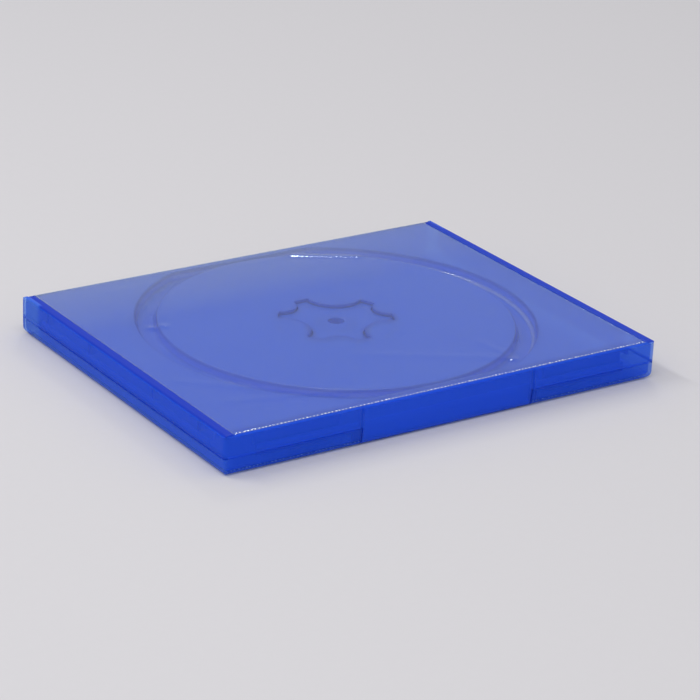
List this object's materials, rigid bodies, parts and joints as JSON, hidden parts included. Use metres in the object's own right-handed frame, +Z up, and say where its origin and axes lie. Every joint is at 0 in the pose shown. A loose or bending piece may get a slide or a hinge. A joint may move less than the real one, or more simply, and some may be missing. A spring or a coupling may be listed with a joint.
{
  "type": "game disc case",
  "caption": "Slim hinged plastic case that holds one game disc on a sprung hub, with a clear outer film sleeve and two living hinges at its spine.",
  "frame": {"origin": "middle of the closed case's box, on the surface that the case lies on", "axes": "+X along the spine, +Y from the opening edge to the spine, +Z up through the disc tray"},
  "size_m": [0.17, 0.135, 0.014],
  "materials": {
    "blue_plastic": "smooth translucent blue polypropylene",
    "hub_plastic": "smooth translucent blue polypropylene, the same moulding as the tray",
    "clear_film": "thin clear glossy film, slightly hazy"
  },
  "bodies": {
    "front_cover": {"front_cover": "blue_plastic", "sleeve_front": "clear_film"},
    "spine": {"spine": "blue_plastic", "front_hinge": "blue_plastic", "rear_hinge": "blue_plastic", "sleeve_spine": "clear_film"},
    "disc_tray": {"disc_tray": "blue_plastic", "sleeve_rear": "clear_film"},
    "hub": {"hub_button": "hub_plastic"}
  },
  "joints": [
    {"name": "front_fold", "type": "hinge", "parent": "front_cover", "child": "spine", "pos_m": [0, 0.06654, 0.00096], "axis": [-1, 0, 0], "range_deg": [0, 90]},
    {"name": "rear_fold", "type": "hinge", "parent": "spine", "child": "disc_tray", "pos_m": [0, 0.06654, 0.01304], "axis": [-1, 0, 0], "range_deg": [0, 90]},
    {"name": "hub_press", "type": "slide", "parent": "disc_tray", "child": "hub", "axis": [0, 0, 1], "range_m": [0, 0.0009], "stiffness_N_per_m": 3000}
  ]
}
